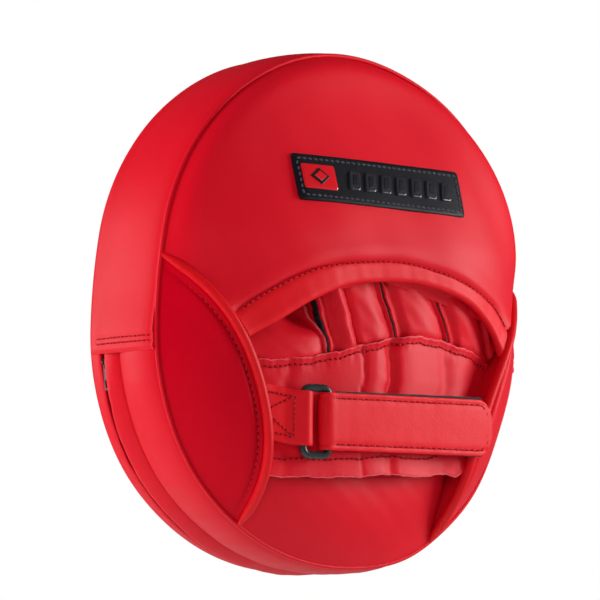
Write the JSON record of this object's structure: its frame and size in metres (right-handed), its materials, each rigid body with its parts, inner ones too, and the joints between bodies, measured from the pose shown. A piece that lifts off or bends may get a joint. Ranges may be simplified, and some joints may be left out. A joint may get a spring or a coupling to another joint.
{
  "type": "focus mitt",
  "caption": "Round padded boxing focus mitt with hooded finger pocket, padded cheeks, ringed wrist strap and a zip round the lower edge.",
  "frame": {"origin": "palm centre: middle of the width and of the height, on the plane of the back seam where the hand side meets the edge band", "axes": "+Z towards the fingertips, +X to the right seen from the hand side, +Y out through the striking face (the hand side faces -Y)"},
  "size_m": [0.2164, 0.0945, 0.2445],
  "materials": {
    "red_cover": "smooth matt synthetic leather, fine grain",
    "red_strap": "smooth matt synthetic leather strap, topstitched",
    "piping": "rolled leather piping",
    "black_lining": "black woven lining",
    "foam": "closed-cell shock foam",
    "hook_and_loop": "black hook and loop tape",
    "zip_tape": "woven zip tape",
    "zip_metal": "dark nickel plating",
    "zip_teeth": "moulded teeth",
    "ring": "moulded dark green-black plastic ring",
    "label_base": "black embossed leather patch",
    "label_tile": "glossy red moulded tile"
  },
  "bodies": {
    "root": {"back_welt": "piping", "band_front_strip": "red_cover", "band_rear_strip": "red_cover", "band_upper": "red_cover", "foam_base": "foam", "foam_mid": "foam", "foam_strike": "foam", "glove_gusset": "red_cover", "hand_cover": "red_cover", "hand_cover_lining": "black_lining", "hood_cover": "red_cover", "hood_foam": "foam", "hood_hem": "red_cover", "hood_lining": "black_lining", "index_stall": "red_cover", "label_patch": "label_base", "label_ribs": "label_base", "label_tile": "label_tile", "little_stall": "red_cover", "loop_tape": "hook_and_loop", "lower_back_panel": "red_cover", "middle_stall": "red_cover", "palm_lining": "black_lining", "palm_pad": "foam", "ring_stall": "red_cover", "strap_anchor_tab": "red_strap", "strap_lower_run": "red_strap", "strike_cover": "red_cover", "thumb_stall": "red_cover", "wing_cover_left": "red_cover", "wing_cover_right": "red_cover", "wing_foam_left": "foam", "wing_foam_right": "foam", "wing_piping_left": "piping", "wing_piping_right": "piping", "zip_flap": "red_cover", "zip_stops": "zip_metal", "zip_tape_front": "zip_tape", "zip_tape_rear": "zip_tape", "zip_teeth": "zip_teeth"},
    "ring": {"strap_ring": "ring"},
    "flap": {"strap_flap": "red_strap", "hook_tape": "hook_and_loop"},
    "slider": {"zip_slider": "zip_metal"},
    "pull": {"zip_pull": "zip_metal"}
  },
  "joints": [
    {"name": "ring_swing", "type": "hinge", "parent": "root", "child": "ring", "pos_m": [-0.04149, -0.0276, -0.05549], "axis": [0.0262, 0, -0.9997], "range_deg": [0, 25]},
    {"name": "flap_peel", "type": "hinge", "parent": "ring", "child": "flap", "pos_m": [-0.02849, -0.02964, -0.05515], "axis": [0.0262, 0, -0.9997], "range_deg": [0, 150]},
    {"name": "zip_travel", "type": "hinge", "parent": "root", "child": "slider", "pos_m": [0, 0.0412, -0.014], "axis": [0, -1, 0], "range_deg": [0, 160]},
    {"name": "pull_flip", "type": "hinge", "parent": "slider", "child": "pull", "pos_m": [-0.10491, 0.0412, -0.02987], "axis": [0, 1, 0], "range_deg": [0, 110]}
  ]
}
